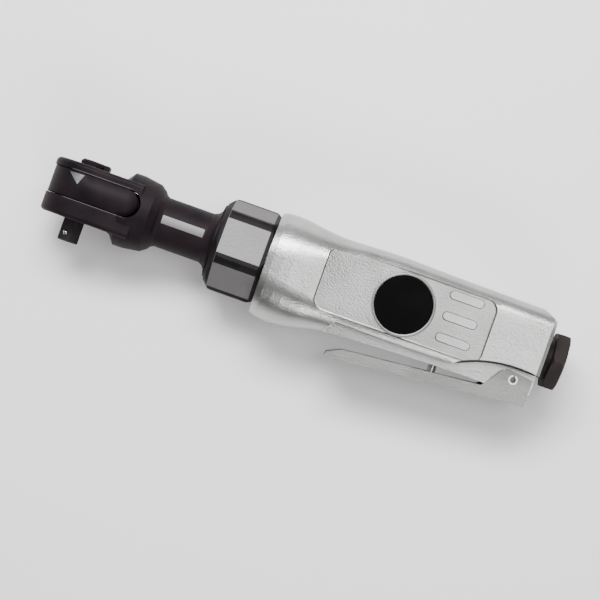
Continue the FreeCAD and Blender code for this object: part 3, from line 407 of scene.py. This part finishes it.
def yoke_painted_highlight():
    """A painted highlight: a small bright triangle on the yoke's skin in place of a reflection, its long
    side along the upper ear: rows run from that side to the point, and every point lies a little outside the
    skin's radius."""
    centre, radius = drive_centre(), YOKE_SKIN + 0.06 * MM
    across, down = np.meshgrid(np.linspace(0, 1, 9), np.linspace(0, 0.97, 9))
    left, right, point = (-6.6, 6.9), (0.0, 7.1), (-1.9, 2.7)
    side_x = left[0] + (right[0] - left[0]) * across
    side_y = left[1] + (right[1] - left[1]) * across
    x = (side_x + (point[0] - side_x) * down) * MM
    y = (side_y + (point[1] - side_y) * down) * MM
    points = np.stack([x + centre, y, np.sqrt(radius ** 2 - x ** 2)], axis=-1)
    piece = grid_piece("yoke_painted_highlight", points, "yoke")
    dress(piece, "bright_steel")


def arch_painted_shadow():
    """Painted shadow: the dark line along the arch over the lever's hinge, on both flanks, where the flank's
    rim shades the keel: a thin bead on a cubic through four stations, at the height of the grip's rounded
    corner, z = c + sqrt(r^2 - (y + c)^2)."""
    tail, count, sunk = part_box("motor_housing")[1][0], 40, 0.15 * MM
    stations = np.array([-35.8, -27.8, -12.6, -0.4]) * MM
    heights = np.array([-15.0, -11.1, -7.9, -8.3]) * MM
    x = np.linspace(stations[0], stations[-1], count)
    y = np.polyval(np.polyfit(stations, heights, 3), x)
    past = np.clip(-y - GRIP_CORNER, 0, GRIP_ROUND * 0.99)
    z = GRIP_CORNER + np.sqrt(GRIP_ROUND ** 2 - past ** 2) - sunk
    bead = 0.5 * MM * np.clip(np.sin(np.linspace(0, np.pi, count)) * 3, 0.05, 1)
    step = np.gradient(np.stack([x, y], axis=-1), axis=0)
    step /= np.linalg.norm(step, axis=1)[:, None]
    side = np.stack([-step[:, 1], step[:, 0], np.zeros(count)], axis=-1)
    up = np.tile([0.0, 0.0, 1.0], (count, 1))
    for flank, name in ((1, "arch_shadow_upper"), (-1, "arch_shadow_lower")):
        path = np.stack([x + tail, y, flank * z], axis=-1)
        points = tube_along(path, side, up, bead, 8)
        piece = grid_piece(name, points, "tool_body", closed_v=True)
        dress(piece, "dark_steel")


def badge_rim():
    """A bright turned rim round the badge: a half-round ring, radius in the badge's plane."""
    low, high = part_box("badge_plate")
    middle, radius = ((low[0] + high[0]) / 2, (low[1] + high[1]) / 2), (high[0] - low[0]) / 2
    count, half_width, rise = 120, 0.5 * MM, 0.3 * MM
    turn = np.linspace(0, 2 * np.pi, count, endpoint=False)
    around = np.linspace(0, 2 * np.pi, 10, endpoint=False)
    ring = radius + 0.55 * MM + half_width * np.cos(around)
    height = high[2] - 0.05 * MM + rise * np.sin(around)
    points = np.stack([middle[0] + np.cos(turn)[:, None] * ring, middle[1] + np.sin(turn)[:, None] * ring,
                       np.tile(height, (count, 1))], axis=-1)
    piece = grid_piece("badge_rim", points, "tool_body", closed_u=True, closed_v=True)
    dress(piece, "bright_steel")


inlet_thread()
knob_ribs()
yoke_cheek()
yoke_painted_highlight()
arch_painted_shadow()
badge_rim()


# ---------------------------------------------------------------- floor, lights and camera
def plain_material(name, colour, roughness):
    """One colour, one roughness."""
    material = bpy.data.materials.new(name)
    material.use_nodes = True
    shader = material.node_tree.nodes["Principled BSDF"]
    shader.inputs["Base Color"].default_value = (*colour, 1.0)
    shader.inputs["Roughness"].default_value = roughness
    return material


def make_floor():
    """A sheet of pale paper that the tool's lower flank lies on."""
    half, height = 3.0, cad_box[0][2]
    corners = [(-half, -half, height), (half, -half, height), (half, half, height), (-half, half, height)]
    mesh = bpy.data.meshes.new("floor")
    mesh.from_pydata(corners, [], [(0, 1, 2, 3)])
    floor = bpy.data.objects.new("floor", mesh)
    bpy.context.scene.collection.objects.link(floor)
    mesh.materials.append(plain_material("floor_paper", (0.86, 0.835, 0.845), 0.9))


MIDDLE = np.array([(cad_box[0][0] + cad_box[1][0]) / 2, 0.0, 0.0])
ROLL = math.radians(19.6)
RIGHT = np.array([math.cos(ROLL), math.sin(ROLL), 0.0])
UP = np.array([-math.sin(ROLL), math.cos(ROLL), 0.0])


def softbox(name, right, up, height, size, power):
    """A rectangular area light, placed by the view's right and up and aimed at the tool's middle."""
    place = MIDDLE + RIGHT * right + UP * up + np.array([0.0, 0.0, height])
    data = bpy.data.lights.new(name, "AREA")
    data.shape = "RECTANGLE"
    data.size, data.size_y = size
    data.energy = power
    light = bpy.data.objects.new(name, data)
    bpy.context.scene.collection.objects.link(light)
    back = (place - MIDDLE) / np.linalg.norm(place - MIDDLE)
    across = np.cross(UP, back)
    across /= np.linalg.norm(across)
    turn = Matrix([list(across), list(np.cross(back, across)), list(back)]).transposed().to_4x4()
    light.matrix_world = Matrix.Translation(place.tolist()) @ turn


def make_camera():
    """Straight above the tool, rolled so that it lies from upper left to lower right."""
    span, lens, sensor = 0.249, 100.0, 36.0
    aside, above = 1 / 120, 0.045       # how far the tool's middle lies off the view's, in view widths
    offset = span * (aside * RIGHT + above * UP)
    data = bpy.data.cameras.new("camera")
    data.lens, data.sensor_width = lens, sensor
    camera = bpy.data.objects.new("camera", data)
    place = MIDDLE - offset
    camera.location = (place[0], place[1], span * lens / sensor)
    camera.rotation_euler = (0.0, 0.0, ROLL)
    bpy.context.scene.collection.objects.link(camera)
    bpy.context.scene.camera = camera


def make_studio():
    """A dim studio whose walls are light on the view's upper side and dark on its lower side, so that the
    metal shows soft bands. The brightness is a smooth step of the direction along the view's up."""
    world = bpy.data.worlds.new("studio")
    world.use_nodes = True
    tree = world.node_tree
    place = tree.nodes.new("ShaderNodeTexCoord")
    along = tree.nodes.new("ShaderNodeVectorMath")
    along.operation = "DOT_PRODUCT"
    tree.links.new(place.outputs["Generated"], along.inputs[0])
    along.inputs[1].default_value = UP.tolist()
    step = ramp(tree, along.outputs["Value"], -0.35, 0.75)
    strength = math_node(tree, "MULTIPLY_ADD", step, 0.55, 0.12)
    background = tree.nodes["Background"]
    background.inputs["Color"].default_value = (0.95, 0.93, 0.95, 1.0)
    tree.links.new(strength, background.inputs["Strength"])
    bpy.context.scene.world = world


make_floor()
softbox("long_top_light", 0.03, 0.30, 0.42, (0.5, 0.10), 2.8)
softbox("overhead", 0.30, 0.02, 1.0, (0.4, 0.4), 3)
softbox("high_light", -0.1, 0.75, 1.1, (0.8, 0.5), 22)
softbox("lower_fill", 0.2, -1.0, 0.7, (0.9, 0.3), 9)
make_camera()
make_studio()
